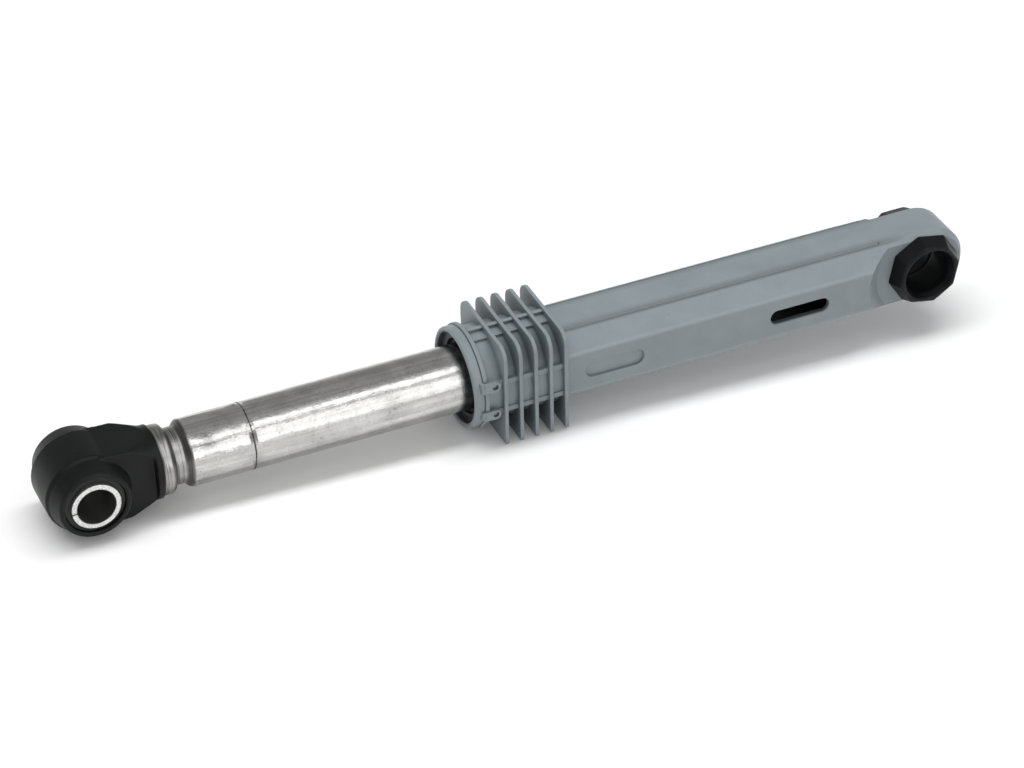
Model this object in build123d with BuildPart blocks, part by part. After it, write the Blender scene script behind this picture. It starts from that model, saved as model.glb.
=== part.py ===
from build123d import *
import os
from math import atan, cos, degrees, pi

# Friction damper that steadies the tub of a front-loading washing machine.
# Millimetres. The origin is the centre of the grey cylinder's eye, +X runs along
# the damper from the black rod eye towards that eye, both pin holes lie along Y, +Z is up.

# Overall, as the damper lies
eye_distance = 239.1            # between the two pin axes
stroke_in = 54.0                # travel left until the tube nears the floor of its bore
bore_end_clearance = 2.0

# Zinc-plated steel tube, necked in behind its lip to grip the rod eye
tube_diameter = 18.0
tube_wall = 1.2
lip_rise = 0.3                  # lip proud of the tube
neck_depth = 1.45               # neck below the tube
lip_length = 2.7
lip_slope = 1.0
neck_length = 3.1
shoulder_slope = 1.4

# Friction liner and its sleeve, inside the barrel
liner_running_clearance = 0.05
liner_thickness = 1.5
liner_length = 16.0
liner_seam = 1.0
liner_pocket_clearance = 0.05
sleeve_bore_clearance = 0.3
sleeve_wall = 2.1
sleeve_front_land = 2.6
sleeve_end_play = 0.3
sleeve_slit = 1.4
sleeve_fit = 0.2                # sleeve inside the barrel

# Grey moulded cylinder, the long faceted part
bore_clearance = 0.3
top_wall = 1.3
side_wall = 3.0
top_flat_width = 12.0
side_flat_height = 12.2
side_edge_radius = 1.2
crease_groove_radius = 0.55
crease_groove_depth = 0.5
crease_groove_end = 13.0        # from the eye's axis
bore_floor = 24.0               # from the eye's axis
side_channel_wall = 1.3         # left outside the channels that core out the thick sides
side_channel_height = 7.0
side_channel_end = 66.0         # from the eye's axis

# Eye of the cylinder
eye_bush_bore = 13.1
eye_bush_wall = 2.05
eye_seat_clearance = 0.02
eye_end_offset = 2.5            # the round end's centre, beyond the eye's axis
eye_seat_depths = (4.5, 7.0)    # dished seats below the near and the far flat side
eye_dish_margin = 3.5           # seat floor beyond the bush flange
eye_dish_slope = 4.5

# Flanged bushes in that eye
eye_bush_flange_rise = 2.3      # flange corners beyond the shank
eye_bush_taper = 1.8            # corners closer in at the outer face
eye_bush_flange_thickness = 4.7
eye_bush_lead_in = 1.2
eye_bush_lead_depth = 2.4
eye_bush_edge = 0.4
eye_bush_split = 0.1            # left between the two bushes
eye_bush_turns = (10.75, 22.5)  # how far each octagon is turned in its seat

# Windows in the flat sides
slot_start = 31.4               # drain slot, from the eye's axis
slot_length = 17.4
slot_height = 4.0
slot_rim = 0.35
pocket_start = 86.6             # blind pocket, from the eye's axis
pocket_length = 17.2
pocket_height = 4.7
pocket_depth = 0.8

# Finned barrel
mouth_station = 133.3           # from the eye's axis to the mouth flange's face
barrel_wall = 1.3
barrel_floor = 1.2
flange_rise = 1.4
flange_thickness = 1.1
fin_count = 5
fin_pitch = 4.32
fin_thickness = 1.05
fin_setback = 5.3               # from the mouth flange's face to the first fin
fin_side_rise = 1.4
fin_top_rise = 2.0
fin_round_corner = 4.0          # all but one
fin_tight_corner = 1.4          # near bottom, which stands on the floor
rib_spacing = 8.7
rib_thickness = 1.5
rib_rise = 0.25
rib_panel_drop = 0.45
ridge_thickness = 1.3
ridge_rise = 1.3
ridge_pad_drop = 1.05
ridge_pad_width = 4.0

# Clip ring that closes the mouth
cap_gap = 0.12
cap_length = 2.7
cap_step = 0.45                 # cap's radius below the flange's
cap_rim = 1.4
cap_edge = 0.45
cap_web_thickness = 0.9
cap_web_clearance = 1.4         # web to tube
clip_length = 4.4
clip_width = 2.9
clip_thickness = 1.1
clip_clearance = 0.15
clip_window = 1.6               # across the round window
clip_root_rise = 0.5            # clips' roots, proud of the flange's radius
catch_clearance = 0.2
catch_proud = 0.6

# Bonded bush in the rod eye
rod_bush_bore = 10.1
rod_bush_wall = 1.5
rod_bush_length = 24.0
rod_bush_seam = 0.35
rod_bush_seam_angle = 187.0
rubber_thickness = 1.5
rubber_recess = 1.2             # below the ends of the steel bush
bond_clearance = 0.02

# Black moulded rod eye
rod_hub_face_wall = 1.5         # round the rubber, at the outer face
rod_hub_base_wall = 2.75        # round the rubber, where the hub meets the head
rod_hub_recess = 0.3            # below the ends of the steel bush
rod_hub_edge = 0.4
rod_head_wall = 3.5
rod_head_thickness = 14.2
rod_head_edge = 1.1
shank_start = 3.0               # from the rod eye's axis
shank_height = 21.4
shank_side = 7.2                # its flat side from the middle, at the collar
shank_corner_radius = 15.2      # of the cone that trims its corners, at the head
collar_start = 17.4             # from the rod eye's axis
collar_length = 1.8
collar_rise = 0.55
spigot_clearance = 0.05
spigot_length = 17.0

# Sizes that follow: bores and walls, outward from the tube
tube_radius = tube_diameter / 2
body_bore_radius = tube_radius + bore_clearance
half_height = body_bore_radius + top_wall
half_width = body_bore_radius + side_wall
liner_inner = tube_radius + liner_running_clearance
liner_outer = liner_inner + liner_thickness
sleeve_inner = tube_radius + sleeve_bore_clearance
sleeve_outer = sleeve_inner + sleeve_wall
barrel_bore_radius = sleeve_outer + sleeve_fit
barrel_radius = barrel_bore_radius + barrel_wall
flange_radius = barrel_radius + flange_rise
rib_reach = barrel_radius + rib_rise
ridge_reach = barrel_radius + ridge_rise
cap_radius = flange_radius - cap_step
web_radius = tube_radius + cap_web_clearance
clip_inner = rib_reach + clip_clearance
clip_outer = clip_inner + clip_thickness

# Stations along the damper
first_fin = fin_setback - mouth_station
body_start = first_fin + (fin_count - 1) * fin_pitch + fin_thickness
barrel_end = body_start - barrel_floor
sleeve_front = sleeve_end_play - mouth_station
sleeve_back = barrel_end - sleeve_end_play
liner_front = sleeve_front + sleeve_front_land
cap_back = -mouth_station - cap_gap
cap_front = cap_back - cap_length
rod_x = -eye_distance
tube_lip = rod_x + collar_start + collar_length
tube_end = -bore_floor - bore_end_clearance - stroke_in

# Seats of the two eyes
eye_halves = [half_width - depth for depth in eye_seat_depths]
eye_bush_shank = (sum(eye_halves) - eye_bush_split) / 2
eye_seat_radius = eye_bush_bore / 2 + eye_bush_wall
eye_flange_radius = eye_seat_radius + eye_bush_flange_rise
dish_floor = eye_flange_radius + eye_dish_margin
dish_rim = dish_floor + eye_dish_slope
steel_outer = rod_bush_bore / 2 + rod_bush_wall
rubber_outer = steel_outer + bond_clearance + rubber_thickness
rubber_half = rod_bush_length / 2 - rubber_recess
hub_half = rod_bush_length / 2 - rod_hub_recess
head_half = rod_head_thickness / 2

# Middle of the tube's wall, from its lip through the neck to its inner end
wall_middle = tube_radius - tube_wall / 2
lip_end = tube_lip + lip_length
neck_start = lip_end + lip_slope
neck_end = neck_start + neck_length
shoulder_end = neck_end + shoulder_slope
crimp_line = [
    (tube_lip, wall_middle + lip_rise),
    (lip_end, wall_middle + lip_rise),
    (neck_start, wall_middle - neck_depth),
    (neck_end, wall_middle - neck_depth),
    (shoulder_end, wall_middle),
]

os.makedirs("parts", exist_ok=True)

# Cylinder body: faceted sleeve, eye, finned barrel and mouth flange in one moulding
with BuildPart() as cylinder_body:
    # Side outline with its round end, pulled to full width
    with BuildSketch(Plane.XZ):
        with Locations(((eye_end_offset + body_start) / 2, 0)):
            Rectangle(eye_end_offset - body_start, 2 * half_height)
        with Locations((eye_end_offset, 0)):
            Circle(half_height)
    extrude(amount=half_width, both=True)

    # Sloping facets from the flat sides to the narrower top and bottom
    for end in (0, -1):
        flat_side = cylinder_body.faces().filter_by(Axis.Y).sort_by(Axis.Y)[end]
        chamfer(
            flat_side.edges().filter_by(Axis.Z, reverse=True),
            length=half_height - side_flat_height / 2,
            length2=half_width - top_flat_width / 2,
            reference=flat_side,
        )
        flat_side = cylinder_body.faces().filter_by(Axis.Y).sort_by(Axis.Y)[end]
        fillet(flat_side.edges().filter_by(Axis.Z, reverse=True), radius=side_edge_radius)

    # Groove along each edge of the top and bottom flats
    groove_centre = half_height + crease_groove_radius - crease_groove_depth
    for across in (-1, 1):
        for up in (-1, 1):
            with BuildSketch(Plane.YZ.offset(body_start)):
                with Locations((across * top_flat_width / 2, up * groove_centre)):
                    Circle(crease_groove_radius)
            extrude(amount=-crease_groove_end - body_start, mode=Mode.SUBTRACT)

    # Drain slot through both sides, with eased rims
    with BuildSketch(Plane.XZ):
        with Locations((-slot_start - slot_length / 2, 0)):
            SlotOverall(slot_length, slot_height)
    extrude(amount=2 * half_width, both=True, mode=Mode.SUBTRACT)
    for end in (0, -1):
        flat_side = cylinder_body.faces().filter_by(Axis.Y).sort_by(Axis.Y)[end]
        chamfer(flat_side.inner_wires()[0].edges(), length=slot_rim)

    # Blind pocket in each side
    for side in (-1, 1):
        with BuildSketch(Plane.XZ.offset(-side * half_width)):
            with Locations((-pocket_start - pocket_length / 2, 0)):
                SlotOverall(pocket_length, pocket_height)
        extrude(amount=side * pocket_depth, mode=Mode.SUBTRACT)

    # Dished seat on each side of the eye
    for side, eye_half in zip((-1, 1), eye_halves):
        with BuildSketch(Plane.XY):
            with BuildLine():
                Polyline(
                    (0, side * eye_half),
                    (dish_floor, side * eye_half),
                    (dish_rim, side * half_width),
                    (dish_rim, side * 2 * half_width),
                    (0, side * 2 * half_width),
                    close=True,
                )
            make_face()
        revolve(axis=Axis.Y, mode=Mode.SUBTRACT)

    # Round barrel and the flange at its mouth
    with BuildSketch(Plane.YZ.offset(-mouth_station)):
        Circle(barrel_radius)
    extrude(amount=body_start + mouth_station)
    with BuildSketch(Plane.YZ.offset(-mouth_station)):
        Circle(flange_radius)
    extrude(amount=flange_thickness)

    # Cooling fins, with three corners well rounded
    for fin in range(fin_count):
        with BuildSketch(Plane.YZ.offset(first_fin + fin * fin_pitch)) as fin_plate:
            Rectangle(2 * (barrel_radius + fin_side_rise), 2 * (barrel_radius + fin_top_rise))
            corners = fin_plate.vertices().sort_by(lambda corner: corner.X + corner.Y)
            fillet(corners[1:], radius=fin_round_corner)
            fillet(corners[0], radius=fin_tight_corner)
        extrude(amount=fin_thickness)

    # Paired ribs with a flat panel between them, on both sides of the barrel
    barrel_length = body_start + mouth_station
    barrel_middle = (body_start - mouth_station) / 2
    panel_reach = rib_reach - rib_panel_drop
    for side in (-1, 1):
        for up in (-1, 1):
            with Locations((barrel_middle, side * rib_reach / 2, up * rib_spacing / 2)):
                Box(barrel_length, rib_reach, rib_thickness)
        with Locations((barrel_middle, side * panel_reach / 2, 0)):
            Box(barrel_length, panel_reach, rib_spacing)

    # Ridge and its lower pad along the top, and the same turned over below
    pad_reach = ridge_reach - ridge_pad_drop
    for up in (-1, 1):
        with Locations((barrel_middle, 0, up * ridge_reach / 2)):
            Box(barrel_length, ridge_thickness, ridge_reach)
        with Locations((barrel_middle, -up * ridge_pad_width / 2, up * pad_reach / 2)):
            Box(barrel_length, ridge_pad_width, pad_reach)

    # Flange cut away under each clip, and a catch for the clip's window
    catch_x = cap_back + clip_length - clip_width / 2
    catch_size = clip_window - 2 * catch_clearance
    for side in (-1, 1):
        for up in (-1, 1):
            notch_y = side * (rib_reach + clip_thickness)
            with Locations((flange_thickness / 2 - mouth_station, notch_y, up * rib_spacing / 2)):
                Box(
                    flange_thickness,
                    2 * clip_thickness,
                    clip_width + 2 * clip_clearance,
                    mode=Mode.SUBTRACT,
                )
            with BuildSketch(Plane.XZ.offset(-side * rib_reach)):
                with Locations((catch_x, up * rib_spacing / 2)):
                    Circle(catch_size / 2)
            extrude(amount=-side * catch_proud)

    # Stepped bore for the sleeve and the tube, and the bore across the eye
    with BuildSketch(Plane.YZ.offset(-mouth_station)):
        Circle(barrel_bore_radius)
    extrude(amount=barrel_end + mouth_station, mode=Mode.SUBTRACT)
    with BuildSketch(Plane.YZ.offset(-mouth_station)):
        Circle(body_bore_radius)
    extrude(amount=mouth_station - bore_floor, mode=Mode.SUBTRACT)
    channel_width = 2 * (half_width - side_channel_wall)
    with Locations((-(side_channel_end + bore_floor) / 2, 0, 0)):
        Box(side_channel_end - bore_floor, channel_width, side_channel_height, mode=Mode.SUBTRACT)
    with BuildSketch(Plane.XZ):
        Circle(eye_seat_radius + eye_seat_clearance)
    extrude(amount=2 * half_width, both=True, mode=Mode.SUBTRACT)

cylinder_body.part.label = "cylinder_body"
export_step(cylinder_body.part, "parts/cylinder_body.step")

# Roots of the mouth cap's clips, within a round outline
with BuildPart() as clip_roots:
    with BuildSketch(Plane.YZ.offset(cap_back - cap_web_thickness)):
        for side in (-1, 1):
            for up in (-1, 1):
                with Locations((side * (web_radius + clip_outer) / 2, up * rib_spacing / 2)):
                    Rectangle(clip_outer - web_radius, clip_width)
        Circle(flange_radius + clip_root_rise, mode=Mode.INTERSECT)
    extrude(amount=cap_web_thickness)

# Mouth cap: ring with a web that keeps the sleeve in, held by four clip loops
with BuildPart() as mouth_cap:
    with BuildSketch(Plane.XY):
        with BuildLine():
            Polyline(
                (cap_front, cap_radius - cap_rim),
                (cap_front, cap_radius),
                (cap_back, cap_radius),
                (cap_back, web_radius),
                (cap_back - cap_web_thickness, web_radius),
                (cap_back - cap_web_thickness, cap_radius - cap_rim),
                close=True,
            )
        make_face()
    revolve(axis=Axis.X)
    chamfer(mouth_cap.edges().group_by(Axis.X)[0], length=cap_edge)

    # Clip loops, each with a round window near its round end
    add(clip_roots.part)
    loop_reach = clip_length - clip_width / 2
    for side in (-1, 1):
        for up in (-1, 1):
            with BuildSketch(Plane.XZ.offset(-side * clip_inner)):
                with Locations((cap_back + loop_reach / 2, up * rib_spacing / 2)):
                    Rectangle(loop_reach, clip_width)
                with Locations((cap_back + loop_reach, up * rib_spacing / 2)):
                    Circle(clip_width / 2)
                    Circle(clip_window / 2, mode=Mode.SUBTRACT)
            extrude(amount=-side * clip_thickness)

mouth_cap.part.label = "mouth_cap"
export_step(mouth_cap.part, "parts/mouth_cap.step")

# Liner sleeve: split plastic carrier with an inner pocket for the friction strip
with BuildPart() as liner_sleeve:
    pocket_radius = liner_outer + liner_pocket_clearance
    with BuildSketch(Plane.XY):
        with BuildLine():
            Polyline(
                (sleeve_front, sleeve_inner),
                (sleeve_front, sleeve_outer),
                (sleeve_back, sleeve_outer),
                (sleeve_back, sleeve_inner),
                (liner_front + liner_length + liner_pocket_clearance, sleeve_inner),
                (liner_front + liner_length + liner_pocket_clearance, pocket_radius),
                (liner_front - liner_pocket_clearance, pocket_radius),
                (liner_front - liner_pocket_clearance, sleeve_inner),
                close=True,
            )
        make_face()
    revolve(axis=Axis.X)
    with Locations(((sleeve_front + sleeve_back) / 2, 0, (sleeve_inner + sleeve_outer) / 2)):
        Box(sleeve_back - sleeve_front, sleeve_slit, 2 * sleeve_wall, mode=Mode.SUBTRACT)

liner_sleeve.part.label = "liner_sleeve"
export_step(liner_sleeve.part, "parts/liner_sleeve.step")

# Friction liner: greased foam strip bent round the tube, with its butt seam open
with BuildPart() as friction_liner:
    with BuildSketch(Plane.YZ.offset(liner_front)):
        Circle(liner_outer)
        Circle(liner_inner, mode=Mode.SUBTRACT)
        with Locations((0, -(liner_inner + liner_outer) / 2)):
            Rectangle(liner_seam, 2 * liner_thickness, mode=Mode.SUBTRACT)
    extrude(amount=liner_length)

friction_liner.part.label = "friction_liner"
export_step(friction_liner.part, "parts/friction_liner.step")

# Piston tube: constant wall along the crimped line
with BuildPart() as piston_tube:
    with BuildSketch(Plane.XY):
        with BuildLine():
            Polyline(*crimp_line, (tube_end, wall_middle))
        trace(line_width=tube_wall)
    revolve(axis=Axis.X)

piston_tube.part.label = "piston_tube"
export_step(piston_tube.part, "parts/piston_tube.step")

# Shank of the rod eye: flat-sided at the head, and a cone rounds it off towards the collar
collar_radius = tube_radius + lip_rise + collar_rise
shank_back = rod_x + shank_start
shank_front = rod_x + collar_start
with BuildPart() as shank:
    with BuildSketch(Plane.XY):
        Polygon(
            (shank_back, head_half),
            (shank_back, -head_half),
            (shank_front, -shank_side),
            (shank_front, shank_side),
            align=None,
        )
    extrude(amount=shank_height, both=True)
    with BuildSketch(Plane.XZ):
        Polygon(
            (shank_back, shank_height / 2),
            (shank_back, -shank_height / 2),
            (shank_front, -collar_radius),
            (shank_front, collar_radius),
            align=None,
        )
    extrude(amount=shank_height, both=True, mode=Mode.INTERSECT)
    with BuildSketch(Plane.XY):
        Polygon(
            (shank_back, 0),
            (shank_back, shank_corner_radius),
            (shank_front, collar_radius),
            (shank_front, 0),
            align=None,
        )
    revolve(axis=Axis.X, mode=Mode.INTERSECT)

# Rod eye: head with a raised hub on both sides, shank, collar, and a spigot in the tube
with BuildPart() as rod_eye:
    # Head and tapering hub, turned round the eye's axis and mirrored to the far side
    head_radius = rubber_outer + rod_head_wall
    hub_base = rubber_outer + rod_hub_base_wall
    hub_face = rubber_outer + rod_hub_face_wall
    with BuildSketch(Plane.XY):
        with BuildLine():
            Polyline(
                (rod_x, 0),
                (rod_x + head_radius, 0),
                (rod_x + head_radius, head_half - rod_head_edge),
                (rod_x + head_radius - rod_head_edge, head_half),
                (rod_x + hub_base, head_half),
                (rod_x + hub_face, hub_half - rod_hub_edge),
                (rod_x + hub_face - rod_hub_edge, hub_half),
                (rod_x, hub_half),
                close=True,
            )
        make_face()
    revolve(axis=Axis((rod_x, 0, 0), (0, 1, 0)))
    mirror(about=Plane.XZ)

    # Shank and the round collar behind it
    add(shank.part)
    with BuildSketch(Plane.YZ.offset(rod_x + collar_start)):
        Circle(collar_radius)
    extrude(amount=collar_length)

    # Spigot, following the inside of the crimped tube
    with BuildSketch(Plane.XY):
        with BuildLine():
            crimp = Polyline(*crimp_line, (tube_lip + spigot_length, wall_middle))
            Polyline(crimp @ 1, (tube_lip + spigot_length, 0), (tube_lip, 0), crimp @ 0)
        make_face()
        trace(crimp, line_width=tube_wall + 2 * spigot_clearance, mode=Mode.SUBTRACT)
    revolve(axis=Axis.X)

    with BuildSketch(Plane.XZ):
        with Locations((rod_x, 0)):
            Circle(rubber_outer + bond_clearance)
    extrude(amount=rod_bush_length, both=True, mode=Mode.SUBTRACT)

rod_eye.part.label = "rod_eye"
export_step(rod_eye.part, "parts/rod_eye.step")

# Rubber ring bonded round the steel bush
with BuildPart() as bush_rubber:
    with BuildSketch(Plane.XZ):
        with Locations((rod_x, 0)):
            Circle(rubber_outer)
            Circle(steel_outer + bond_clearance, mode=Mode.SUBTRACT)
    extrude(amount=rubber_half, both=True)

bush_rubber.part.label = "bush_rubber"
export_step(bush_rubber.part, "parts/bush_rubber.step")

# Steel bush, rolled from strip, with the seam along its length
with BuildPart() as steel_bush:
    with BuildSketch(Plane.XZ):
        with Locations((rod_x, 0)):
            Circle(steel_outer)
            Circle(rod_bush_bore / 2, mode=Mode.SUBTRACT)
            with PolarLocations(steel_outer - rod_bush_wall / 2, 1, start_angle=rod_bush_seam_angle):
                Rectangle(2 * rod_bush_wall, rod_bush_seam, mode=Mode.SUBTRACT)
    extrude(amount=rod_bush_length / 2, both=True)

steel_bush.part.label = "steel_bush"
export_step(steel_bush.part, "parts/steel_bush.step")

# Eye bushes: one pushed in from each side, each with a tapered octagonal flange
octagon_taper = degrees(atan(eye_bush_taper * cos(pi / 8) / eye_bush_flange_thickness))
bush_names = ("eye_bush_front", "eye_bush_rear")
for side, turn, eye_half, name in zip((-1, 1), eye_bush_turns, eye_halves, bush_names):
    with BuildPart() as eye_bush:
        with BuildSketch(Plane.XZ.offset(-side * eye_half)):
            RegularPolygon(eye_flange_radius, 8, rotation=turn)
        extrude(amount=-side * eye_bush_flange_thickness, taper=octagon_taper)
        flange_faces = eye_bush.faces().filter_by(Axis.Y).sort_by(Axis.Y)
        outer_face = flange_faces[0] if side < 0 else flange_faces[-1]
        chamfer(outer_face.edges(), length=eye_bush_edge)
        with BuildSketch(Plane.XZ.offset(-side * eye_half)):
            Circle(eye_seat_radius)
        extrude(amount=side * eye_bush_shank)
        with BuildSketch(Plane.XZ):
            Circle(eye_bush_bore / 2)
        extrude(amount=2 * half_width, both=True, mode=Mode.SUBTRACT)

        # Lead-in for the pin
        face_y = side * (eye_half + eye_bush_flange_thickness)
        lead_y = face_y - side * eye_bush_lead_depth
        with BuildSketch(Plane.XY):
            with BuildLine():
                Polyline(
                    (0, face_y),
                    (eye_bush_bore / 2 + eye_bush_lead_in, face_y),
                    (eye_bush_bore / 2, lead_y),
                    (0, lead_y),
                    close=True,
                )
            make_face()
        revolve(axis=Axis.Y, mode=Mode.SUBTRACT)
    eye_bush.part.label = name
    export_step(eye_bush.part, "parts/" + name + ".step")
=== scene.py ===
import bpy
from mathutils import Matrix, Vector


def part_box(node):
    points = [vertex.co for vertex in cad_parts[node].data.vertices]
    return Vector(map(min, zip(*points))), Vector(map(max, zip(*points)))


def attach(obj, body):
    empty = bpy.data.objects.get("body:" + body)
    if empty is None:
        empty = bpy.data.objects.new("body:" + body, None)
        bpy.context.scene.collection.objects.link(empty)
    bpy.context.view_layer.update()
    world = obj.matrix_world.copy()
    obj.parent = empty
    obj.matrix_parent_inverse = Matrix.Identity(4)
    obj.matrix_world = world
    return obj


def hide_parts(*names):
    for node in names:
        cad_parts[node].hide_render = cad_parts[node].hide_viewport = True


bl_info = {
    "name": "Friction Damper",
    "version": (1, 0, 0),
    "blender": (4, 5, 0),
    "location": "3D View > Sidebar > Damper",
    "description": "Builds the visual model of a washing machine friction damper",
    "category": "Add Mesh",
}

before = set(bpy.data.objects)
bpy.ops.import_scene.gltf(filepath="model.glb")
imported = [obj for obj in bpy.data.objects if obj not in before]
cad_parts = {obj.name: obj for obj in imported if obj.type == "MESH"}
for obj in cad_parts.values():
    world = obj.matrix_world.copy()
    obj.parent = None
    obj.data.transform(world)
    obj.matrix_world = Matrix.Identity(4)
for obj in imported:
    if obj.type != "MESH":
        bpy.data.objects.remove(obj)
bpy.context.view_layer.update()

from collections import namedtuple
from math import atan, cos, pi, radians, sin, tan

import bpy
from bpy.props import FloatProperty, FloatVectorProperty, PointerProperty
from mathutils import Matrix, Vector

MM = 0.001

# Where things lie along the damper, read from the frame and measured from it
TUBE_LOW, TUBE_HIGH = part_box("piston_tube")
BUSH_LOW, BUSH_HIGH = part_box("steel_bush")
BODY_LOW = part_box("cylinder_body")[0]
ROD_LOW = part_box("rod_eye")[0]
ROD_X = (BUSH_LOW.x + BUSH_HIGH.x) / 2
TUBE_LIP = TUBE_LOW.x
TUBE_END = TUBE_HIGH.x
LIP_END = TUBE_LIP + 2.7 * MM
NECK_START = LIP_END + 1.0 * MM
NECK_END = NECK_START + 3.1 * MM
SHOULDER = NECK_END + 1.4 * MM
FINS_X = -128 * MM

# Marks on the tube: the centre of a painted reflection spot, and bends darkened by painted shade, each
# with its depth of tone
REFLECTION_SPOT = (ROD_X + 32.4 * MM, -6.5 * MM, 6.2 * MM)
SHADED_BENDS = ((LIP_END, NECK_START, 0.6), (NECK_END, SHOULDER, 0.75))

# Painted shade and highlights on the grey cylinder. In a pair of limits a tone is absent at the first,
# full at the second
BARREL = (-107 * MM, -109 * MM)
SLEEVE = (-109 * MM, -108 * MM)
CREASE_CLEAR = (0.9 * MM, 1.4 * MM)

# A line along X at y and z: full within inner of it, gone at outer, above lowest, up to its end
Line = namedtuple("Line", "y z inner outer tone depth lowest end")
# Painted shade along the crease, a softer painted shade beside it on top, and a painted highlight along
# the facet's edge
CREASE = Line(
    y=6.30 * MM, z=10.30 * MM, inner=0.30 * MM, outer=0.85 * MM, tone=0.46, depth=0.8,
    lowest=0.0, end=(-5 * MM, -11 * MM))
CREASE_FALL = Line(
    y=6.00 * MM, z=10.60 * MM, inner=0.20 * MM, outer=2.50 * MM, tone=0.70, depth=0.9,
    lowest=10.3 * MM, end=(-5 * MM, -11 * MM))
FACET_HIGHLIGHT = Line(
    y=12.15 * MM, z=6.00 * MM, inner=0.20 * MM, outer=0.90 * MM, tone=1.30, depth=0.6,
    lowest=0.0, end=(-13 * MM, -16 * MM))

# Drain slot: its two ends, its half height, and the outer and inner face of the wall round it, which
# gets painted shade
SLOT_LENGTH = ((-49.9 * MM, -49.4 * MM), (-30.7 * MM, -31.2 * MM))
SLOT_HEIGHT = (2.5 * MM, 2.35 * MM)
SLOT_WALL = ((12.2 * MM, 12.0 * MM), (11.1 * MM, 11.3 * MM))

# Radius of each bore that gets painted shade inside and where it starts, and the radius of the steel
# bush's bore
SHADED_BORES = ((12.5 * MM, -109 * MM), (9.45 * MM, -22 * MM))
BUSH_BORE = 5.05 * MM

# Roundings that a remesh gives: size of its cells, and how often they are smoothed
ROD_EYE_MELT = (0.25 * MM, 8)
EYE_BUSH_MELT = (0.2 * MM, 34)

# Studio: the floor glows a little to the camera, and matt surfaces get a little more room light
CAMERA_TARGET = Vector((-0.119706, 0.0, -0.007122))
LAMP_TARGET = Vector((-0.12, 0.0, 0.0))
SENSOR_WIDTH = 36.0
FLOOR_SIZE = 12.0
FLOOR_GAP = 0.02 * MM
FLOOR_GLOW = 0.045
SHADE_LIGHT = 0.08


# Sizes and colours

class DamperSizes(bpy.types.PropertyGroup):
    grey_edge: FloatProperty(
        name="Grey edges", description="Rounding of the grey moulding's edges",
        default=0.16 * MM, min=0.0, max=0.4 * MM, unit="LENGTH")
    inner_edge: FloatProperty(
        name="Inner edges", description="Rounding of the liner, its sleeve and the rod's bush",
        default=0.2 * MM, min=0.0, max=0.6 * MM, unit="LENGTH")
    tube_edge: FloatProperty(
        name="Tube edges", description="Rounding of the tube's two ends",
        default=0.22 * MM, min=0.0, max=0.5 * MM, unit="LENGTH")
    tube_radius: FloatProperty(
        name="Tube radius", description="Outer radius of the zinc-plated tube",
        default=9.0 * MM, unit="LENGTH")
    tube_wall: FloatProperty(
        name="Tube wall", description="Wall of the zinc-plated tube",
        default=1.2 * MM, unit="LENGTH")
    lip_rise: FloatProperty(
        name="Lip rise", description="How far the tube's lip stands proud",
        default=0.3 * MM, unit="LENGTH")
    neck_depth: FloatProperty(
        name="Neck depth", description="How far the rolled neck lies below the tube",
        default=1.45 * MM, unit="LENGTH")
    bend_radius: FloatProperty(
        name="Bend radius", description="Radius of the bends rolled into the tube",
        default=0.9 * MM, unit="LENGTH")
    score_place: FloatProperty(
        name="Score line", description="Score line round the tube, from the rod eye's axis",
        default=44.0 * MM, unit="LENGTH")
    score_width: FloatProperty(
        name="Score width", description="Width of the score line",
        default=0.3 * MM, unit="LENGTH")
    score_depth: FloatProperty(
        name="Score depth", description="Depth of the score line",
        default=0.05 * MM, unit="LENGTH")


class DamperColours(bpy.types.PropertyGroup):
    grey_plastic: FloatVectorProperty(
        name="Grey plastic", description="Cylinder and mouth cap",
        subtype="COLOR", size=3, default=(0.232, 0.270, 0.288))
    black_plastic: FloatVectorProperty(
        name="Black plastic", description="Rod eye",
        subtype="COLOR", size=3, default=(0.0070, 0.0074, 0.0074))
    bush_plastic: FloatVectorProperty(
        name="Bush plastic", description="Flanged bushes in the cylinder's eye",
        subtype="COLOR", size=3, default=(0.0048, 0.0053, 0.0062))
    zinc: FloatVectorProperty(
        name="Zinc", description="Plating of the tube",
        subtype="COLOR", size=3, default=(0.605, 0.60, 0.585))
    bush_steel: FloatVectorProperty(
        name="Bush steel", description="Rolled bush in the rod eye",
        subtype="COLOR", size=3, default=(0.74, 0.74, 0.72))
    rubber: FloatVectorProperty(
        name="Rubber", description="Ring bonded round the steel bush",
        subtype="COLOR", size=3, default=(0.008, 0.009, 0.009))
    foam: FloatVectorProperty(
        name="Foam", description="Greased friction liner",
        subtype="COLOR", size=3, default=(0.10, 0.09, 0.07))
    dark_plastic: FloatVectorProperty(
        name="Dark plastic", description="Sleeve that carries the friction liner",
        subtype="COLOR", size=3, default=(0.035, 0.037, 0.038))


class DamperStudio(bpy.types.PropertyGroup):
    azimuth: FloatProperty(
        name="Azimuth", description="Camera's turn round the damper",
        subtype="ANGLE", default=radians(-23.2994))
    elevation: FloatProperty(
        name="Elevation", description="Camera's height angle",
        subtype="ANGLE", default=radians(35.8064))
    roll: FloatProperty(
        name="Roll", description="Camera's turn about its own axis",
        subtype="ANGLE", default=radians(-1.4036))
    distance: FloatProperty(
        name="Distance", description="Camera to the point it looks at",
        default=0.936084, unit="LENGTH")
    lens: FloatProperty(
        name="Lens", description="Focal length, in millimetres on a 36 mm sensor",
        default=123.92)
    floor_colour: FloatVectorProperty(
        name="Floor", description="Colour of the floor and of the room behind it",
        subtype="COLOR", size=3, default=(0.96, 0.96, 0.96))
    room_light: FloatProperty(
        name="Room light", description="Brightness of the pale room all round",
        default=0.36, min=0.0, max=2.0)
    lamp_light: FloatProperty(
        name="Lamp light", description="Brightness of the soft lamps",
        default=1.0, min=0.0, max=100.0)


# Modelling helpers

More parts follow.
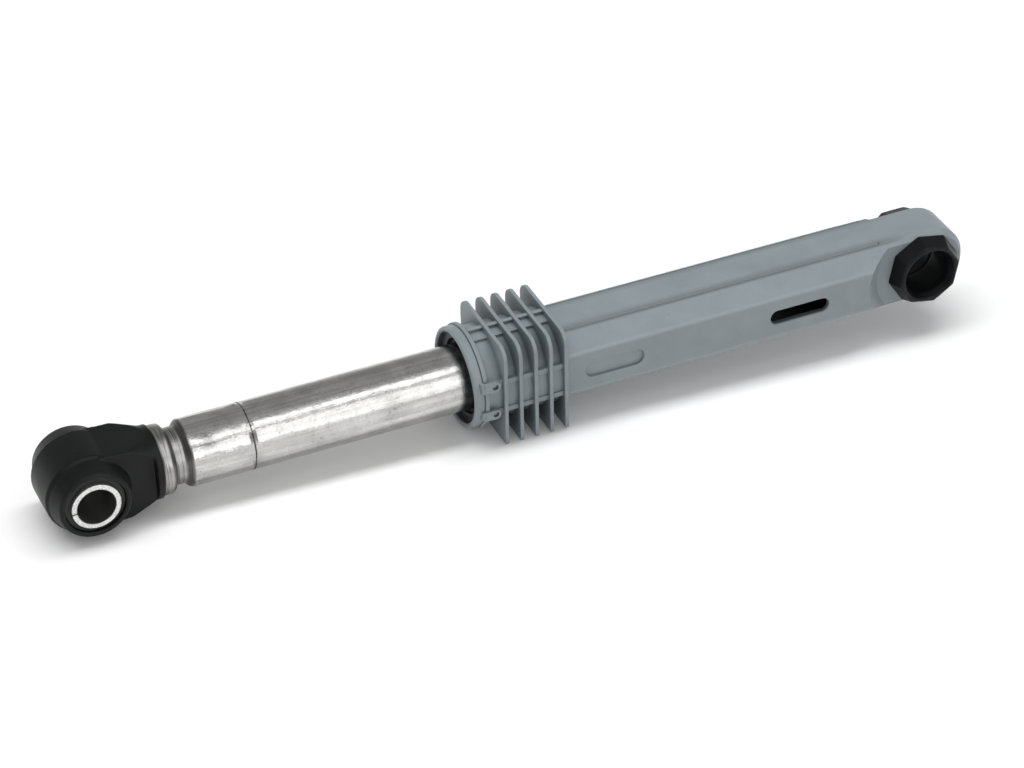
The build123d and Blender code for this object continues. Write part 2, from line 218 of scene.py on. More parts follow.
def clear_selection():
    """Leaves nothing selected, in object mode."""
    if bpy.context.object and bpy.context.object.mode != "OBJECT":
        bpy.ops.object.mode_set(mode="OBJECT")
    bpy.ops.object.select_all(action="DESELECT")


def pick(piece):
    """Makes one piece the selected and active object."""
    clear_selection()
    piece.select_set(True)
    bpy.context.view_layer.objects.active = piece


def edit(piece):
    """Opens a piece in edit mode with its whole mesh selected."""
    pick(piece)
    bpy.ops.object.mode_set(mode="EDIT")
    bpy.ops.mesh.select_all(action="SELECT")


def apply_modifier(piece, kind, **settings):
    """Adds a modifier with these settings and applies it."""
    pick(piece)
    modifier = piece.modifiers.new(kind.title(), kind)
    for key, value in settings.items():
        setattr(modifier, key, value)
    bpy.ops.object.modifier_apply(modifier=modifier.name)


def merged_copy(node, name):
    """Copy of a CAD node with its loose triangles joined and its flat faces made whole."""
    clear_selection()
    piece = bpy.data.objects.new(name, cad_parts[node].data.copy())
    bpy.context.scene.collection.objects.link(piece)
    edit(piece)
    bpy.ops.mesh.remove_doubles(threshold=0.002 * MM)
    bpy.ops.mesh.dissolve_limited(angle_limit=radians(0.5))
    bpy.ops.object.mode_set(mode="OBJECT")
    return piece


def soften(piece, width, segments=2, angle=28):
    """Rounds every edge sharper than the angle and shades the piece smoothly."""
    apply_modifier(
        piece, "BEVEL", width=width, segments=segments, limit_method="ANGLE",
        angle_limit=radians(angle), use_clamp_overlap=False, miter_outer="MITER_ARC",
        loop_slide=True)
    pick(piece)
    bpy.ops.object.shade_smooth()
    apply_modifier(piece, "WEIGHTED_NORMAL", mode="FACE_AREA", weight=50)


def melt(piece, cell, passes):
    """Rounds a moulding all over, as a worn mould does, by fine even cells that are then smoothed."""
    apply_modifier(piece, "REMESH", mode="VOXEL", voxel_size=cell, adaptivity=0.0)
    apply_modifier(piece, "SMOOTH", factor=0.5, iterations=passes)
    pick(piece)
    bpy.ops.object.shade_smooth()


def finish_piece(piece, finish, body, node):
    """Gives a piece its finish and body, and lets it stand for its CAD node."""
    piece.data.materials.clear()
    piece.data.materials.append(finish_named(finish))
    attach(piece, body)
    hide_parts(node)


def turned(name, stations, facets):
    """Ring round X drawn at the first station, then pulled and scaled from station to station.

    A station is a place along X and a radius."""
    clear_selection()
    along = Vector((1, 0, 0))
    first_place, first_radius = stations[0]
    bpy.ops.mesh.primitive_circle_add(
        vertices=facets, radius=first_radius, location=along * first_place,
        rotation=along.to_track_quat("Z", "Y").to_euler())
    piece = bpy.context.object
    piece.name = name
    bpy.ops.object.transform_apply(location=True, rotation=True, scale=True)
    edit(piece)
    for (before, wide), (place, radius) in zip(stations, stations[1:]):
        bpy.ops.mesh.extrude_edges_move(TRANSFORM_OT_translate={"value": along * (place - before)})
        change = radius / wide
        bpy.ops.transform.resize(value=(1.0, change, change), center_override=along * place)
    bpy.ops.object.mode_set(mode="OBJECT")
    return piece


def rounded_line(points, radius, steps=5):
    """Points of an open line, with each inner corner rounded by an arc."""
    line = [points[0]]
    for before, corner, after in zip(points, points[1:], points[2:]):
        here = Vector(corner)
        back = Vector(before) - here
        ahead = Vector(after) - here
        cut = radius / tan(back.angle(ahead) / 2)
        cut = min(cut, back.length * 0.48, ahead.length * 0.48)
        entry = here + back.normalized() * cut
        leave = here + ahead.normalized() * cut
        for step in range(steps + 1):
            share = step / steps
            line.append(tuple(
                entry * (1 - share) ** 2 + here * 2 * share * (1 - share) + leave * share ** 2))
    line.append(points[-1])
    return line


# Node helpers

def feed(tree, socket, value):
    """Links a socket to another one, or fills it with a value."""
    if isinstance(value, bpy.types.NodeSocket):
        tree.links.new(value, socket)
    else:
        socket.default_value = value


def put(tree, kind, inputs=None, **settings):
    """Adds a node, sets its properties and fills or links its inputs."""
    node = tree.nodes.new(kind)
    for key, value in settings.items():
        setattr(node, key, value)
    for key, value in (inputs or {}).items():
        feed(tree, node.inputs[key], value)
    return node


def maths(tree, operation, first, second=0.5):
    """Math node's result."""
    return put(tree, "ShaderNodeMath", {0: first, 1: second}, operation=operation).outputs[0]


def product(tree, first, *others):
    """Product of several masks or numbers."""
    for other in others:
        first = maths(tree, "MULTIPLY", first, other)
    return first


def spread(tree, value, low, high, to_low=0.0, to_high=1.0):
    """Map Range node's result, clamped."""
    node = put(tree, "ShaderNodeMapRange", {
        "Value": value, "From Min": low, "From Max": high, "To Min": to_low, "To Max": to_high})
    return node.outputs["Result"]


def blend(tree, factor, first, second):
    """Colour mix's result."""
    node = put(tree, "ShaderNodeMix", data_type="RGBA")
    for key, value in (("Factor", factor), (6, first), (7, second)):
        feed(tree, node.inputs[key], value)
    return node.outputs[2]


def reach(tree, first, second, centre=(0.0, 0.0)):
    """Distance from an axis, from the two coordinates across it and its centre there."""
    first = maths(tree, "SUBTRACT", first, centre[0])
    second = maths(tree, "SUBTRACT", second, centre[1])
    squares = maths(tree, "ADD", product(tree, first, first), product(tree, second, second))
    return maths(tree, "SQRT", squares)


def object_place(tree):
    """Place on the piece, in its own coordinates."""
    return put(tree, "ShaderNodeTexCoord").outputs["Object"]


def three_parts(tree, place):
    """X, Y and Z of a place."""
    return put(tree, "ShaderNodeSeparateXYZ", {0: place}).outputs


def stretched(tree, place, scale):
    """Place scaled by its own number along each axis."""
    return put(tree, "ShaderNodeVectorMath", {0: place, 1: scale}, operation="MULTIPLY").outputs[0]


def noise(tree, place, scale, detail=3.0, roughness=0.5, distortion=0.0):
    """Noise texture's value."""
    node = put(tree, "ShaderNodeTexNoise", {
        "Vector": place, "Scale": scale, "Detail": detail,
        "Roughness": roughness, "Distortion": distortion})
    return node.outputs["Fac"]


def rgba(colour, gain=1.0):
    """Colour with its fourth number."""
    return (colour[0] * gain, colour[1] * gain, colour[2] * gain, 1.0)


def new_group(name, inputs, outputs):
    """Shader node group with named inputs and outputs."""
    group = bpy.data.node_groups.new(name, "ShaderNodeTree")
    for label, default in inputs:
        socket = group.interface.new_socket(label, in_out="INPUT", socket_type="NodeSocketFloat")
        socket.default_value = default
    for label in outputs:
        group.interface.new_socket(label, in_out="OUTPUT", socket_type="NodeSocketFloat")
    return group, put(group, "NodeGroupInput").outputs, put(group, "NodeGroupOutput").inputs


def build_edge_group():
    """Mask that is one along outer edges and fades over the given radius."""
    group, given, wanted = new_group(
        "Edge mask", [("Radius", 0.3 * MM), ("Start", 0.03), ("Full", 0.2)], ["Edge"])
    eased = put(group, "ShaderNodeBevel", {"Radius": given["Radius"]}, samples=6).outputs[0]
    true = put(group, "ShaderNodeNewGeometry").outputs["Normal"]
    match = put(group, "ShaderNodeVectorMath", {0: eased, 1: true}, operation="DOT_PRODUCT")
    bend = maths(group, "SUBTRACT", 1.0, match.outputs["Value"])
    group.links.new(spread(group, bend, given["Start"], given["Full"]), wanted["Edge"])


def build_crevice_group():
    """Mask that is one in creases and corners, where it paints shade."""
    group, given, wanted = new_group(
        "Crevice", [("Reach", 1.5 * MM), ("Start", 0.25), ("Full", 0.75)], ["Crevice"])
    open_sky = put(
        group, "ShaderNodeAmbientOcclusion", {"Distance": given["Reach"]}, samples=8, only_local=True)
    shut = maths(group, "SUBTRACT", 1.0, open_sky.outputs["AO"])
    group.links.new(spread(group, shut, given["Start"], given["Full"]), wanted["Crevice"])


def build_grain_group():
    """Fine moulded grain and broad mottling on the piece's own coordinates."""
    group, given, wanted = new_group(
        "Moulded grain", [("Fine scale", 2600.0), ("Broad scale", 90.0)], ["Height", "Mottle", "Speck"])
    place = object_place(group)
    fine = noise(group, place, given["Fine scale"], 4.0, 0.6)
    middle = noise(group, place, product(group, given["Fine scale"], 0.23), 2.0)
    height = maths(group, "ADD", product(group, fine, 0.6), product(group, middle, 0.4))
    broad = noise(group, place, given["Broad scale"], 4.0, 0.55, 0.4)
    dots = put(group, "ShaderNodeTexVoronoi", {"Vector": place, "Scale": 420.0}, feature="F1").outputs
    chance = put(group, "ShaderNodeSeparateColor", {0: dots["Color"]}).outputs[0]
    chosen = maths(group, "GREATER_THAN", chance, 0.93)
    near = spread(group, dots["Distance"], 0.12, 0.04)
    group.links.new(height, wanted["Height"])
    group.links.new(spread(group, broad, 0.3, 0.7), wanted["Mottle"])
    group.links.new(product(group, chosen, near), wanted["Speck"])


def build_scratch_group():
    """Fine streaks that run along the damper."""
    group, given, wanted = new_group(
        "Long streaks", [("Across scale", 1400.0), ("Along scale", 40.0)], ["Streak"])
    across = given["Across scale"]
    size = put(group, "ShaderNodeCombineXYZ", {0: given["Along scale"], 1: across, 2: across}).outputs[0]
    streak = noise(group, stretched(group, object_place(group), size), 1.0, 5.0, 0.62)
    group.links.new(spread(group, streak, 0.3, 0.7), wanted["Streak"])


def use_group(tree, name, **inputs):
    """Outputs of a shared effect, with this material's own values."""
    node = put(tree, "ShaderNodeGroup", node_tree=bpy.data.node_groups[name])
    for key, value in inputs.items():
        node.inputs[key.replace("_", " ")].default_value = value
    return node.outputs


def new_material(name):
    """Tree and Principled shader of a new material, which has nothing else but its output."""
    material = bpy.data.materials.new(name)
    material.use_nodes = True
    tree = material.node_tree
    tree.nodes.clear()
    shader = put(tree, "ShaderNodeBsdfPrincipled")
    put(tree, "ShaderNodeOutputMaterial", {"Surface": shader.outputs[0]})
    return tree, shader


def relief(tree, shader, height, distance):
    """Feeds a height to the shader through a Bump node."""
    bump = put(tree, "ShaderNodeBump", {"Height": height, "Distance": distance, "Strength": 1.0})
    tree.links.new(bump.outputs[0], shader.inputs["Normal"])


def moulded_plastic(name, colour, roughness, edge_gain, mottle=0.08, radius=0.3, speck_gain=1.6,
                    shine=0.5, hollow_shade=0.75, cylinder=False):
    """Moulded plastic with fine grain, mottling, dust specks, lighter edges that are partly wear and
    partly painted highlight, and painted shade in hollows.

    The grey cylinder also has painted shade and painted highlights of its own, by their places on it."""
    tree, shader = new_material(name)
    grain = use_group(tree, "Moulded grain")
    mottling = grain["Mottle"]
    edge = use_group(tree, "Edge mask", Radius=radius * MM)["Edge"]
    tone = blend(tree, mottling, rgba(colour, 1 - mottle), rgba(colour, 1 + mottle))
    # Lighter edges: partly wear, partly a painted highlight along the rounded edges
    edge_wear_and_highlight = product(tree, edge, spread(tree, mottling, 0.1, 0.9, 0.45, 1.0))
    tone = blend(tree, edge_wear_and_highlight, tone, rgba(colour, edge_gain))
    tone = blend(tree, product(tree, grain["Speck"], 0.5), tone, rgba(colour, speck_gain))
    crevice_shade = use_group(tree, "Crevice")["Crevice"]
    if cylinder:
        crevice_shade = off_crease(tree, crevice_shade)
    # Painted shade in creases, corners and hollows
    tone = blend(tree, product(tree, crevice_shade, hollow_shade), tone, rgba(colour, 0.35))
    if cylinder:
        tone = cylinder_tones(tree, tone, colour, mottling)
    shader.inputs["Specular IOR Level"].default_value = shine
    tree.links.new(tone, shader.inputs["Base Color"])
    rough = spread(tree, mottling, 0.0, 1.0, roughness - 0.05, roughness + 0.06)
    tree.links.new(rough, shader.inputs["Roughness"])
    relief(tree, shader, grain["Height"], 0.010 * MM)


def folded_place(tree):
    """X, and the distances from the two planes that the cylinder is symmetric about."""
    x, y, z = three_parts(tree, object_place(tree))
    return x, maths(tree, "ABSOLUTE", y), maths(tree, "ABSOLUTE", z)


def off_crease(tree, crevice_shade):
    """Painted shade of creases and corners kept off the sleeve's crease, which has a painted shade line
    of its own.
    """
    x, side, height = folded_place(tree)
    apart = reach(tree, side, height, (CREASE.y, CREASE.z))
    clear = maths(tree, "MAXIMUM", spread(tree, apart, *CREASE_CLEAR), spread(tree, x, *BARREL))
    return product(tree, crevice_shade, clear)


def cylinder_tones(tree, tone, colour, mottling):
    """Painted shade between the fins, painted shade and highlight lines along the sleeve, painted shade
    on the slot's wall and inside the bores.
    """
    x, side, height = folded_place(tree)
    # Painted shade in the gaps between the fins
    wide = use_group(tree, "Crevice", Reach=7 * MM, Start=0.35, Full=0.9)["Crevice"]
    shade = product(tree, wide, spread(tree, x, *BARREL), 0.85)
    tone = blend(tree, shade, tone, rgba(colour, 0.3))
    # Painted shade along the crease and beside it, and a painted highlight along the facet's edge
    for line in (CREASE, CREASE_FALL, FACET_HIGHLIGHT):
        apart = reach(tree, side, height, (line.y, line.z))
        mask = product(
            tree, spread(tree, apart, line.outer, line.inner), spread(tree, x, *SLEEVE),
            spread(tree, x, *line.end), spread(tree, height, line.lowest - 0.2 * MM, line.lowest),
            line.depth)
        tone = blend(tree, mask, tone, rgba(colour, line.tone))
    # Painted shade on the slot's wall inside the slot
    masks = [spread(tree, x, *limits) for limits in SLOT_LENGTH]
    masks += [spread(tree, side, *limits) for limits in SLOT_WALL]
    slot_wall_shade = product(tree, spread(tree, height, *SLOT_HEIGHT), *masks)
    tone = blend(tree, slot_wall_shade, tone, rgba(colour, 0.45))
    # Painted shade inside the mouth's and the sleeve's bores
    radius = maths(tree, "ADD", reach(tree, side, height), product(tree, mottling, 0.2 * MM))
    for bore, start in SHADED_BORES:
        inside = spread(tree, radius, bore + 0.25 * MM, bore)
        beyond = spread(tree, x, start, start - 2 * MM)
        tone = blend(tree, product(tree, inside, beyond), tone, rgba(colour, 0.10))
    return tone


def zinc_plating(name, colour, score_x):
    """Zinc-plated steel: waves, long streaks, pits, a duller crimped end, painted shade on the rolled
    bends, a painted reflection spot and a broken score line.
    """
    tree, shader = new_material(name)
    place = object_place(tree)
    x = three_parts(tree, place)[0]
    streak = use_group(tree, "Long streaks", Across_scale=620.0, Along_scale=14.0)["Streak"]
    spangle = noise(tree, place, 1350.0, 2.0, 0.65)
    patches = noise(tree, place, 130.0, 3.0, 0.5, 0.8)
    formed = spread(tree, x, score_x + 1.0 * MM, score_x - 1.0 * MM)
    crimped = spread(tree, x, SHOULDER + 0.4 * MM, SHOULDER - 0.6 * MM)
    grain = maths(tree, "ADD", product(tree, streak, 0.45), product(tree, spangle, 0.55))
    tone = blend(tree, spread(tree, grain, 0.32, 0.68), rgba(colour, 0.74), rgba(colour, 1.14))
    tone = blend(tree, spread(tree, patches, 0.45, 0.75, 0.0, 0.45), tone, rgba(colour, 0.5))
    pits = product(tree, spread(tree, spangle, 0.56, 0.66), spread(tree, patches, 0.42, 0.62))
    tone = blend(tree, product(tree, pits, 0.7), tone, rgba(colour, 0.35))
    tone = blend(tree, product(tree, crimped, 0.75), tone, rgba(colour, 0.52))
    rings = noise(tree, stretched(tree, place, (3600.0, 90.0, 90.0)), 1.0, 2.0, 0.5, 0.3)
    marks = product(tree, spread(tree, rings, 0.50, 0.60), crimped, 0.75)
    tone = blend(tree, marks, tone, rgba(colour, 0.16))
    # Painted shade on the tube's rolled bends, where they slope away
    for start, end, depth in SHADED_BENDS:
        enter = spread(tree, x, start - 0.4 * MM, start + 0.2 * MM)
        leave = spread(tree, x, end + 0.3 * MM, end - 0.2 * MM)
        tone = blend(tree, product(tree, enter, leave, depth), tone, rgba(colour, 0.10))
    # Painted reflection: a darker blotch near the shoulder that stands for a reflection on the tube
    away = put(tree, "ShaderNodeVectorMath", {0: place, 1: REFLECTION_SPOT}, operation="DISTANCE")
    away = maths(tree, "ADD", away.outputs["Value"], product(tree, patches, 1.6 * MM))
    reflection_spot = spread(tree, away, 3.4 * MM, 1.4 * MM)
    tone = blend(tree, product(tree, reflection_spot, 0.6), tone, rgba(colour, 0.30))
    apart = maths(tree, "ABSOLUTE", maths(tree, "SUBTRACT", x, score_x))
    ragged = product(tree, noise(tree, place, 900.0, 2.0, 0.6), 1.6 * MM)
    score = spread(tree, maths(tree, "ADD", apart, ragged), 1.02 * MM, 0.72 * MM)
    tone = blend(tree, product(tree, score, 0.9), tone, rgba(colour, 0.10))
    tree.links.new(tone, shader.inputs["Base Color"])
    shader.inputs["Metallic"].default_value = 1.0
    rough = maths(tree, "ADD", spread(tree, patches, 0.3, 0.7, 0.14, 0.23), product(tree, grain, 0.08))
    rough = maths(tree, "ADD", rough, product(tree, crimped, 0.14))
    tree.links.new(rough, shader.inputs["Roughness"])
    height = maths(tree, "ADD", product(tree, spangle, 3.0), product(tree, streak, 0.5))
    swell = product(tree, noise(tree, place, 95.0, 1.0), spread(tree, formed, 0.0, 1.0, 9.0, 95.0))
    relief(tree, shader, maths(tree, "ADD", height, swell), 0.016 * MM)


def rolled_steel(name, colour):
    """Bright steel with a coarse, sparkling grain on its cut ends, and a dark bore."""
    tree, shader = new_material(name)
    place = object_place(tree)
    coarse = noise(tree, place, 3200.0, 2.0, 0.7)
    patches = noise(tree, place, 420.0, 3.0)
    tone = blend(tree, spread(tree, coarse, 0.35, 0.65), rgba(colour, 0.72), rgba(colour, 1.2))
    edge = use_group(tree, "Edge mask", Radius=0.25 * MM)["Edge"]
    tone = blend(tree, product(tree, edge, 0.5), tone, rgba(colour, 0.55))
    parts = three_parts(tree, place)
    radius = reach(tree, parts[0], parts[2], (ROD_X, 0.0))
    inside = spread(tree, radius, BUSH_BORE + 0.30 * MM, BUSH_BORE + 0.12 * MM)
    tone = blend(tree, inside, tone, rgba(colour, 0.09))
    tree.links.new(tone, shader.inputs["Base Color"])
    tree.links.new(spread(tree, inside, 0.0, 1.0, 1.0, 0.35), shader.inputs["Metallic"])
    tree.links.new(spread(tree, patches, 0.3, 0.7, 0.32, 0.5), shader.inputs["Roughness"])
    relief(tree, shader, coarse, 0.05 * MM)


def bonded_rubber(name, colour):
    """Dull rubber with a soft bloom."""
    tree, shader = new_material(name)
    grain = use_group(tree, "Moulded grain", Fine_scale=3400.0, Broad_scale=260.0)
    tone = blend(tree, grain["Mottle"], rgba(colour, 0.8), rgba(colour, 1.7))
    tree.links.new(tone, shader.inputs["Base Color"])
    tree.links.new(spread(tree, grain["Mottle"], 0.0, 1.0, 0.55, 0.75), shader.inputs["Roughness"])
    relief(tree, shader, grain["Height"], 0.02 * MM)


def greased_foam(name, colour):
    """Open foam soaked with grease: cells, and a shine where the grease lies."""
    tree, shader = new_material(name)
    place = object_place(tree)
    cells = put(tree, "ShaderNodeTexVoronoi", {"Vector": place, "Scale": 1900.0}, feature="F1")
    cells = cells.outputs["Distance"]
    grease = noise(tree, place, 350.0, 3.0)
    tone = blend(tree, spread(tree, cells, 0.1, 0.7), rgba(colour, 0.35), rgba(colour, 1.3))
    tree.links.new(tone, shader.inputs["Base Color"])
    tree.links.new(spread(tree, grease, 0.4, 0.6, 0.75, 0.25), shader.inputs["Roughness"])
    relief(tree, shader, cells, 0.15 * MM)


def build_finishes(colours):
    """Every finish of the damper, by name."""
    build_edge_group()
    build_crevice_group()
    build_grain_group()
    build_scratch_group()
    moulded_plastic(
        "Grey plastic", colours.grey_plastic, roughness=0.46, edge_gain=1.32, cylinder=True)
    moulded_plastic(
        "Black plastic", colours.black_plastic, roughness=0.40, edge_gain=3.0, mottle=0.25,
        radius=0.5, speck_gain=9.0, shine=0.19, hollow_shade=0.4)
    moulded_plastic(
        "Bush plastic", colours.bush_plastic, roughness=0.34, edge_gain=2.6, mottle=0.2,
        radius=0.4, speck_gain=7.0, shine=0.18, hollow_shade=0.4)
    moulded_plastic(
        "Dark plastic", colours.dark_plastic, roughness=0.5, edge_gain=1.5, mottle=0.15)
    zinc_plating("Zinc plating", colours.zinc, ROD_X + bpy.context.scene.damper_sizes.score_place)
    rolled_steel("Rolled steel", colours.bush_steel)
    bonded_rubber("Bonded rubber", colours.rubber)
    greased_foam("Greased foam", colours.foam)


def finish_named(name):
    """A finish, built with all the others when the first one is asked for."""
    if name not in bpy.data.materials:
        build_finishes(bpy.context.scene.damper_colours)
    return bpy.data.materials[name]


# Operators, one for each piece or group of like pieces

class DAMPER_OT_cylinder(bpy.types.Operator):
    """Moulds the grey cylinder with rounded edges."""
    bl_idname = "damper.cylinder"
    bl_label = "Grey cylinder"
    bl_options = {"REGISTER", "UNDO"}

    def execute(self, context):
        piece = merged_copy("cylinder_body", "grey_cylinder")
        soften(piece, context.scene.damper_sizes.grey_edge)
        finish_piece(piece, "Grey plastic", "cylinder", "cylinder_body")
        return {"FINISHED"}


class DAMPER_OT_mouth_cap(bpy.types.Operator):
    """Moulds the clip ring that closes the mouth."""
    bl_idname = "damper.mouth_cap"
    bl_label = "Mouth cap"
    bl_options = {"REGISTER", "UNDO"}

    def execute(self, context):
        piece = merged_copy("mouth_cap", "mouth_ring")
        soften(piece, context.scene.damper_sizes.grey_edge)
        finish_piece(piece, "Grey plastic", "cylinder", "mouth_cap")
        return {"FINISHED"}


class DAMPER_OT_liner(bpy.types.Operator):
    """Fits the dark sleeve and the greased foam strip inside it."""
    bl_idname = "damper.liner"
    bl_label = "Liner and sleeve"
    bl_options = {"REGISTER", "UNDO"}

    def execute(self, context):
        edge = context.scene.damper_sizes.inner_edge
        sleeve = merged_copy("liner_sleeve", "split_sleeve")
        soften(sleeve, edge)
        finish_piece(sleeve, "Dark plastic", "liner", "liner_sleeve")
        strip = merged_copy("friction_liner", "foam_strip")
        soften(strip, edge, segments=3)
        finish_piece(strip, "Greased foam", "liner", "friction_liner")
        return {"FINISHED"}


class DAMPER_OT_tube(bpy.types.Operator):
    """Rolls the zinc-plated tube with its lip, neck and score line."""
    bl_idname = "damper.tube"
    bl_label = "Zinc tube"
    bl_options = {"REGISTER", "UNDO"}

    def execute(self, context):
        sizes = context.scene.damper_sizes
        middle = sizes.tube_radius - sizes.tube_wall / 2
        score = ROD_X + sizes.score_place
        rolled = rounded_line([
            (TUBE_LIP, middle + sizes.lip_rise - 0.25 * MM),
            (TUBE_LIP + 0.7 * MM, middle + sizes.lip_rise),
            (LIP_END, middle + sizes.lip_rise),
            (NECK_START, middle - sizes.neck_depth),
            (NECK_END, middle - sizes.neck_depth),
            (SHOULDER, middle),
            (SHOULDER + 6 * MM, middle),
        ], sizes.bend_radius)
        scored = [
            (score - sizes.score_width / 2, middle),
            (score - sizes.score_width / 6, middle - sizes.score_depth),
            (score + sizes.score_width / 6, middle - sizes.score_depth),
            (score + sizes.score_width / 2, middle),
        ]
        stations = rolled + scored + [(TUBE_END, middle)]
        tube = turned("zinc_tube", stations, 128)
        edit(tube)
        bpy.ops.mesh.normals_make_consistent(inside=False)
        apply_modifier(tube, "SOLIDIFY", thickness=sizes.tube_wall, offset=0.0, use_even_offset=True)
        soften(tube, sizes.tube_edge, segments=3, angle=50)
        finish_piece(tube, "Zinc plating", "rod", "piston_tube")
        return {"FINISHED"}


class DAMPER_OT_rod_eye(bpy.types.Operator):
    """Moulds the black rod eye with soft roundings."""
    bl_idname = "damper.rod_eye"
    bl_label = "Rod eye"
    bl_options = {"REGISTER", "UNDO"}

    def execute(self, context):
        piece = merged_copy("rod_eye", "rod_eye_moulding")
        melt(piece, *ROD_EYE_MELT)
        finish_piece(piece, "Black plastic", "rod", "rod_eye")
        return {"FINISHED"}


class DAMPER_OT_rod_bush(bpy.types.Operator):
    """Presses the rolled steel bush and its rubber ring into the rod eye."""
    bl_idname = "damper.rod_bush"
    bl_label = "Rod bush"
    bl_options = {"REGISTER", "UNDO"}

    def execute(self, context):
        edge = context.scene.damper_sizes.inner_edge
        steel = merged_copy("steel_bush", "rolled_bush")
        soften(steel, edge, segments=3)
        finish_piece(steel, "Rolled steel", "rod", "steel_bush")
        rubber = merged_copy("bush_rubber", "rubber_ring")
        soften(rubber, 1.2 * edge, segments=3)
        finish_piece(rubber, "Bonded rubber", "rod", "bush_rubber")
        return {"FINISHED"}


class DAMPER_OT_eye_bushes(bpy.types.Operator):
    """Pushes the two flanged bushes into the cylinder's eye."""
    bl_idname = "damper.eye_bushes"
    bl_label = "Eye bushes"
    bl_options = {"REGISTER", "UNDO"}

    def execute(self, context):
        for node, name in (("eye_bush_front", "near_eye_bush"), ("eye_bush_rear", "far_eye_bush")):
            piece = merged_copy(node, name)
            melt(piece, *EYE_BUSH_MELT)
            finish_piece(piece, "Bush plastic", "cylinder", node)
        return {"FINISHED"}


class DAMPER_OT_studio(bpy.types.Operator):
    """Sets the pale floor, the soft lamps and the camera."""
    bl_idname = "damper.studio"
    bl_label = "Studio"
    bl_options = {"REGISTER", "UNDO"}

    def execute(self, context):
        studio = context.scene.damper_studio
        for leftover in ("Cube", "Light", "Camera"):
            if leftover in bpy.data.objects:
                bpy.data.objects.remove(bpy.data.objects[leftover])
        self.floor(studio)
        self.room(context, studio)
        self.lamps(context, studio)
        self.camera(context, studio)
        context.scene.view_settings.view_transform = "Standard"
        return {"FINISHED"}

    def floor(self, studio):
        """Pale floor under the fins and the rod eye, which the damper rests on."""
        tilt = atan((ROD_LOW.z - BODY_LOW.z) / (ROD_X - FINS_X))
        clear_selection()
        bpy.ops.mesh.primitive_grid_add(x_subdivisions=2, y_subdivisions=2, size=FLOOR_SIZE)
        floor = bpy.context.object
        floor.name = "floor"
        edit(floor)
        bpy.ops.transform.rotate(value=tilt, orient_axis="Y", center_override=(0, 0, 0))
        bpy.ops.transform.translate(value=(FINS_X, 0, BODY_LOW.z - FLOOR_GAP))
        bpy.ops.object.mode_set(mode="OBJECT")
        tree, shader = new_material("Pale floor")
        faint = noise(tree, object_place(tree), 60.0)
        tone = blend(tree, faint, rgba(studio.floor_colour, 0.995), rgba(studio.floor_colour, 1.005))
        tree.links.new(tone, shader.inputs["Base Color"])
        shader.inputs["Roughness"].default_value = 0.9
        path = put(tree, "ShaderNodeLightPath").outputs
        seen = maths(tree, "MAXIMUM", path["Is Camera Ray"], path["Is Glossy Ray"])
        seen = maths(tree, "MAXIMUM", seen, path["Is Transmission Ray"])
        tree.links.new(product(tree, seen, FLOOR_GLOW), shader.inputs["Emission Strength"])
        shader.inputs["Emission Color"].default_value = (1, 1, 1, 1)
        floor.data.materials.append(bpy.data.materials["Pale floor"])

    def room(self, context, studio):
        """Even pale light from all round, white to the camera and a little brighter on matt surfaces."""
        world = bpy.data.worlds.new("Pale room")
        world.use_nodes = True
        tree = world.node_tree
        tree.nodes.clear()
        path = put(tree, "ShaderNodeLightPath").outputs
        to_white = product(tree, path["Is Camera Ray"], 1.0 - studio.room_light)
        level = maths(tree, "ADD", to_white, studio.room_light)
        level = maths(tree, "ADD", product(tree, path["Is Diffuse Ray"], SHADE_LIGHT), level)
        light = put(tree, "ShaderNodeBackground", {"Color": (1, 1, 1, 1), "Strength": level})
        put(tree, "ShaderNodeOutputWorld", {"Surface": light.outputs[0]})
        context.scene.world = world

    def lamps(self, context, studio):
        """Strip overhead, panel in front and a fill above.

        The strip and the panel are two lamps each: one shows only in gloss, one lights only matt."""
        strip, panel, above = (0.20, -0.42, 0.90), (0.33, -0.86, 0.39), (0.0, 0.12, 0.99)
        rig = (
            ("strip_mirrored", strip, 1.3, 3.0, 0.36, 2.1, True),
            ("strip_matt", strip, 1.3, 3.0, 0.36, 0.8, False),
            ("panel_mirrored", panel, 1.5, 1.1, 1.15, 1.65, True),
            ("panel_matt", panel, 1.5, 1.1, 1.15, 1.15, False),
            ("top_matt", above, 1.5, 2.2, 0.4, 6.7, False),
        )
        for name, side, distance, width, height, glow, mirrored in rig:
            lamp = bpy.data.lights.new(name, "AREA")
            lamp.shape = "RECTANGLE"
            lamp.size = width
            lamp.size_y = height
            lamp.energy = glow * studio.lamp_light * pi * width * height
            direction = Vector(side).normalized()
            right = Vector((1, 0, 0))
            right = (right - direction * right.dot(direction)).normalized()
            holder = self.stand(
                context, name, lamp, right, direction.cross(right), direction,
                LAMP_TARGET + direction * distance)
            holder.visible_camera = False
            holder.visible_glossy = mirrored
            holder.visible_diffuse = not mirrored

    def camera(self, context, studio):
        """Camera at the photograph's angle."""
        azimuth, height, roll = studio.azimuth, studio.elevation, studio.roll
        back = Vector((sin(azimuth) * cos(height), -cos(azimuth) * cos(height), sin(height)))
        level = Vector((cos(azimuth), sin(azimuth), 0))
        rise = back.cross(level)
        right = cos(roll) * level + sin(roll) * rise
        up = -sin(roll) * level + cos(roll) * rise
        lens = bpy.data.cameras.new("camera")
        lens.sensor_fit = "HORIZONTAL"
        lens.sensor_width = SENSOR_WIDTH
        lens.lens = studio.lens
        lens.clip_end = 100.0
        context.scene.camera = self.stand(
            context, "camera", lens, right, up, back, CAMERA_TARGET + back * studio.distance)

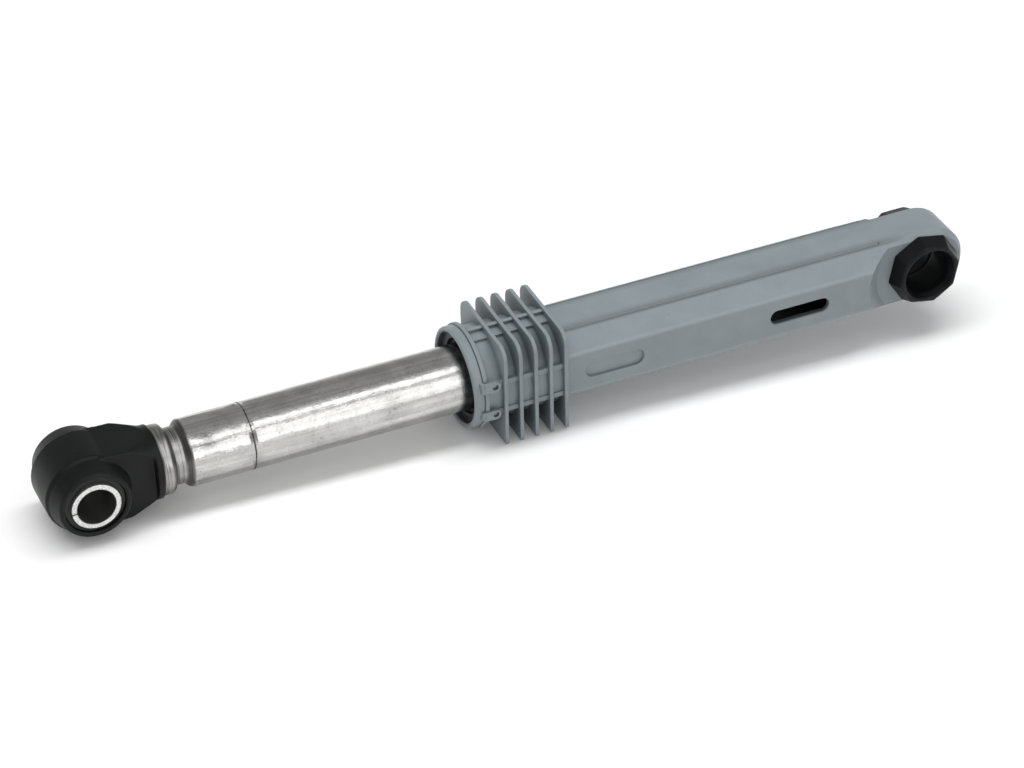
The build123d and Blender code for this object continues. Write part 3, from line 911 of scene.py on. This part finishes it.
    def stand(self, context, name, data, right, up, back, place):
        """Adds a lamp or camera, turned by its own three directions and put in its place."""
        holder = bpy.data.objects.new(name, data)
        context.scene.collection.objects.link(holder)
        rows = [(right[row], up[row], back[row], place[row]) for row in range(3)]
        holder.matrix_world = Matrix((*rows, (0, 0, 0, 1)))
        return holder


class DAMPER_PT_panel(bpy.types.Panel):
    """Lists the damper's pieces and their settings."""
    bl_idname = "DAMPER_PT_panel"
    bl_label = "Friction damper"
    bl_space_type = "VIEW_3D"
    bl_region_type = "UI"
    bl_category = "Damper"

    def draw(self, context):
        layout = self.layout
        for step in STEPS:
            layout.operator(step.bl_idname)
        scene = context.scene
        for group in (scene.damper_sizes, scene.damper_colours, scene.damper_studio):
            column = layout.column(align=True)
            for name in group.__annotations__:
                column.prop(group, name)


GROUPS = (DamperSizes, DamperColours, DamperStudio)
STEPS = (
    DAMPER_OT_studio,
    DAMPER_OT_cylinder,
    DAMPER_OT_mouth_cap,
    DAMPER_OT_liner,
    DAMPER_OT_tube,
    DAMPER_OT_rod_eye,
    DAMPER_OT_rod_bush,
    DAMPER_OT_eye_bushes,
)


def register():
    for group in GROUPS:
        bpy.utils.register_class(group)
    for step in STEPS:
        bpy.utils.register_class(step)
    bpy.utils.register_class(DAMPER_PT_panel)
    bpy.types.Scene.damper_sizes = PointerProperty(type=DamperSizes)
    bpy.types.Scene.damper_colours = PointerProperty(type=DamperColours)
    bpy.types.Scene.damper_studio = PointerProperty(type=DamperStudio)


def unregister():
    del bpy.types.Scene.damper_studio
    del bpy.types.Scene.damper_colours
    del bpy.types.Scene.damper_sizes
    bpy.utils.unregister_class(DAMPER_PT_panel)
    for step in reversed(STEPS):
        bpy.utils.unregister_class(step)
    for group in reversed(GROUPS):
        bpy.utils.unregister_class(group)


def main():
    """Builds every piece."""
    register()
    for step in STEPS:
        area, name = step.bl_idname.split(".")
        result = getattr(getattr(bpy.ops, area), name)()
        if result != {"FINISHED"}:
            raise RuntimeError(step.bl_label + " could not be built")
    clear_selection()


if __name__ == "__main__":
    main()
